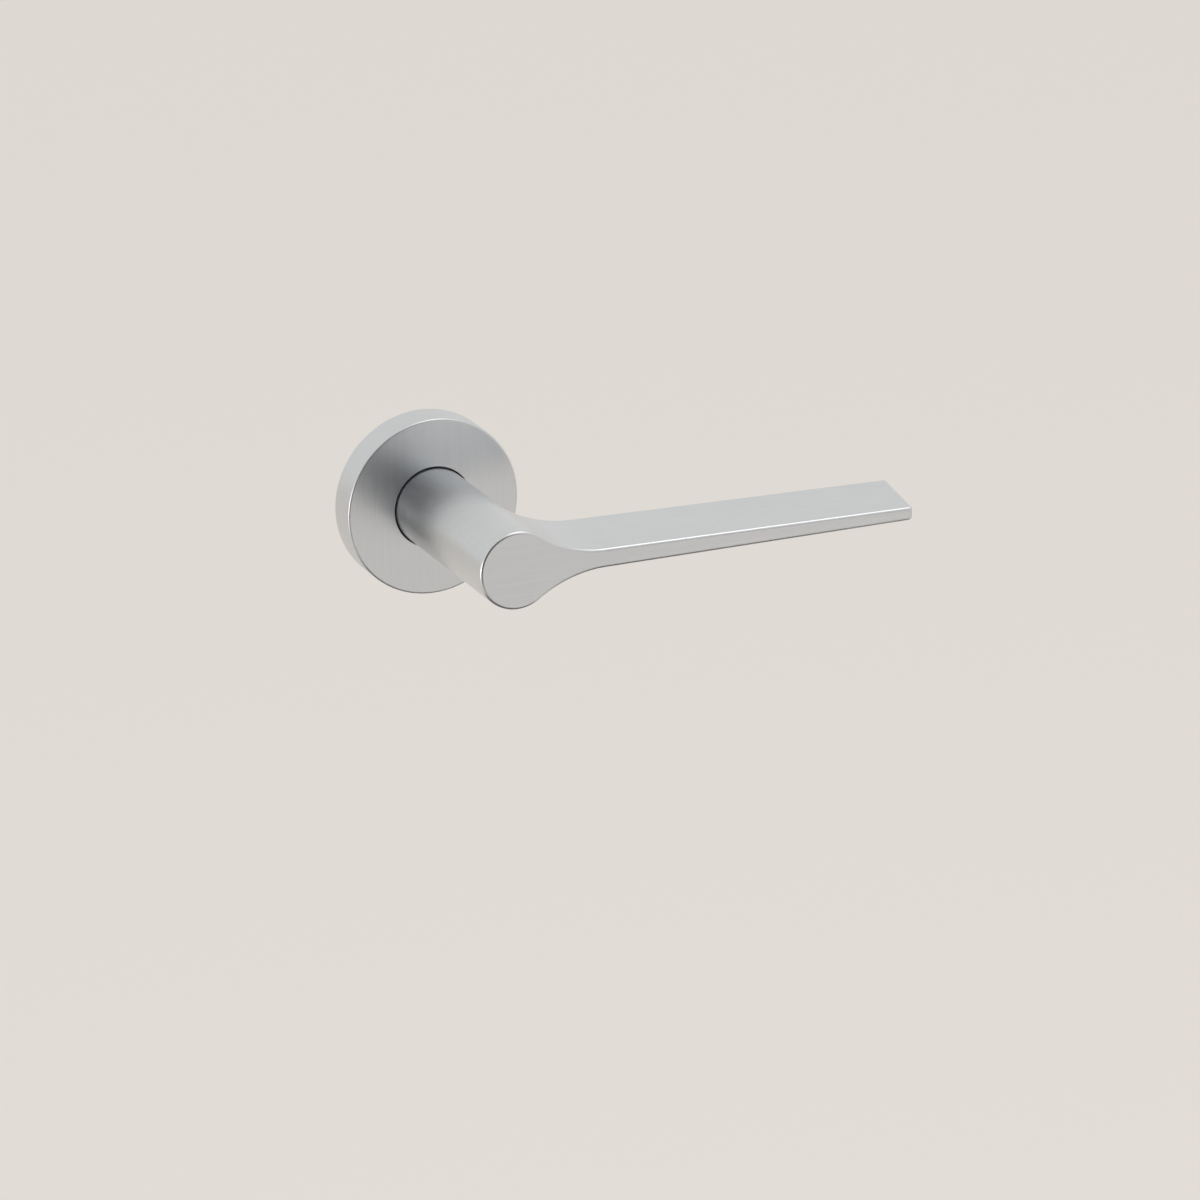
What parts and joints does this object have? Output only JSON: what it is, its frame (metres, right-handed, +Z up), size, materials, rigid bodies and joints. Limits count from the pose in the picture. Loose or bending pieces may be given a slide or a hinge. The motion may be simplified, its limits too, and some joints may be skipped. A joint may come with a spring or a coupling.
{
  "type": "door lever handle",
  "caption": "Straight flat-grip door lever on a plain round sprung rose, with a square half spindle, a keyed return-spring drive and a slide-off rose cover.",
  "frame": {"origin": "centre of the rose on the door's face, on the lever's turning axis", "axes": "+Y into the door along the spindle, -Y towards the user, +X along the lever at rest, +Z up"},
  "size_m": [0.1452, 0.0987, 0.05],
  "materials": {
    "satin_chrome": "satin chrome with fine brushing",
    "phosphated_steel": "black phosphate, dull",
    "zinc_plated_steel": "bright zinc plate",
    "spring_steel": "drawn spring steel, oiled",
    "black_nylon": "moulded glass-filled nylon, fine grain",
    "white_acetal": "moulded acetal, smooth",
    "black_rubber": "moulded rubber, matt",
    "brass": "turned brass"
  },
  "bodies": {
    "rose": {"rose_base": "black_nylon", "bearing_bush": "white_acetal", "return_spring": "spring_steel", "cover_snap_ring": "spring_steel", "rest_stop_buffer": "black_rubber", "travel_stop_buffer": "black_rubber", "threaded_insert_right": "brass", "threaded_insert_left": "brass", "wood_screw_upper": "zinc_plated_steel", "wood_screw_lower": "zinc_plated_steel"},
    "handle": {"lever": "satin_chrome", "grub_screw": "phosphated_steel", "drive_plate": "phosphated_steel", "thrust_washer": "zinc_plated_steel", "wave_washer": "spring_steel", "circlip": "phosphated_steel", "spindle": "zinc_plated_steel", "spindle_spring": "spring_steel"},
    "cover": {"rose_cover": "satin_chrome", "neck_guide_ring": "black_nylon"}
  },
  "joints": [
    {"name": "lever_turn", "type": "hinge", "parent": "rose", "child": "handle", "pos_m": [0, 0, 0], "axis": [0, 1, 0], "range_deg": [0, 45], "stiffness_Nm_per_rad": 0.8, "springref_deg": -45.84, "deforming": ["return_spring"]},
    {"name": "cover_slide", "type": "slide", "parent": "rose", "child": "cover", "axis": [0, -1, 0], "range_m": [0, 0.03]}
  ]
}
